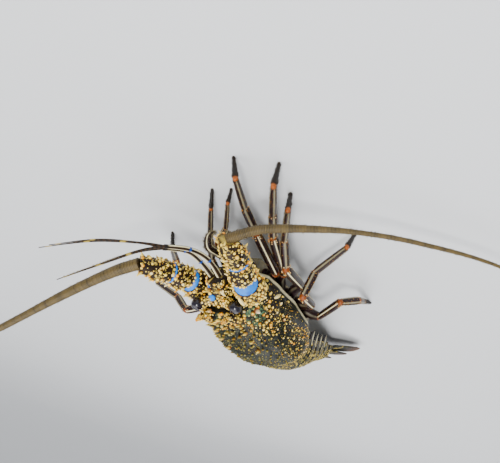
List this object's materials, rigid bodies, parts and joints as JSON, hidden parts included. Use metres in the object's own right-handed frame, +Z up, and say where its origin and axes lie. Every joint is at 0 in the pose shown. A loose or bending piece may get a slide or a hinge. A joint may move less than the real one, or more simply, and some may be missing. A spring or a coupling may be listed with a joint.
{
  "type": "spiny lobster",
  "caption": "Life-size still model of a dark spiny lobster standing on its legs, with horned, grained carapace, striped legs, ringed tail with fan, and long spread feelers.",
  "frame": {"origin": "middle of the whole extent, on the floor under the toes", "axes": "+X the way the head faces, +Y to the animal's left, +Z up"},
  "size_m": [0.3264, 0.6344, 0.1513],
  "materials": {
    "shell": "satin shell, near black green with pale grains",
    "antenna": "satin shell, dark brown",
    "whip": "matt, olive brown",
    "leg": "satin shell, dark maroon with pale stripes",
    "eye": "glossy dark ball",
    "under": "matt, dull cream"
  },
  "bodies": {
    "root": {"carapace": "shell", "breast_plate": "under", "head": "shell", "eye_r": "eye", "eye_l": "eye", "antenna_r_1": "antenna", "antenna_r_2": "antenna", "antenna_r_3": "antenna", "whip_r_1": "whip", "whip_r_2": "whip", "whip_r_3": "whip", "antennule_r": "antenna", "antenna_l_1": "antenna", "antenna_l_2": "antenna", "antenna_l_3": "antenna", "whip_l_1": "whip", "whip_l_2": "whip", "whip_l_3": "whip", "antennule_l": "antenna", "maxilliped_r": "leg", "maxilliped_l": "leg", "leg_r1_upper": "leg", "leg_r1_lower": "leg", "leg_r2_upper": "leg", "leg_r2_lower": "leg", "leg_r3_upper": "leg", "leg_r3_lower": "leg", "leg_r4_upper": "leg", "leg_r4_lower": "leg", "leg_r5_upper": "leg", "leg_r5_lower": "leg", "leg_l1_upper": "leg", "leg_l1_lower": "leg", "leg_l2_upper": "leg", "leg_l2_lower": "leg", "leg_l3_upper": "leg", "leg_l3_lower": "leg", "leg_l4_upper": "leg", "leg_l4_lower": "leg", "leg_l5_upper": "leg", "leg_l5_lower": "leg", "tail_ring_1": "shell", "tail_ring_2": "shell", "tail_ring_3": "shell", "tail_ring_4": "shell", "tail_ring_5": "shell", "tail_ring_6": "shell", "telson": "shell", "fan_inner_r": "shell", "fan_outer_r": "shell", "fan_inner_l": "shell", "fan_outer_l": "shell"}
  },
  "joints": []
}
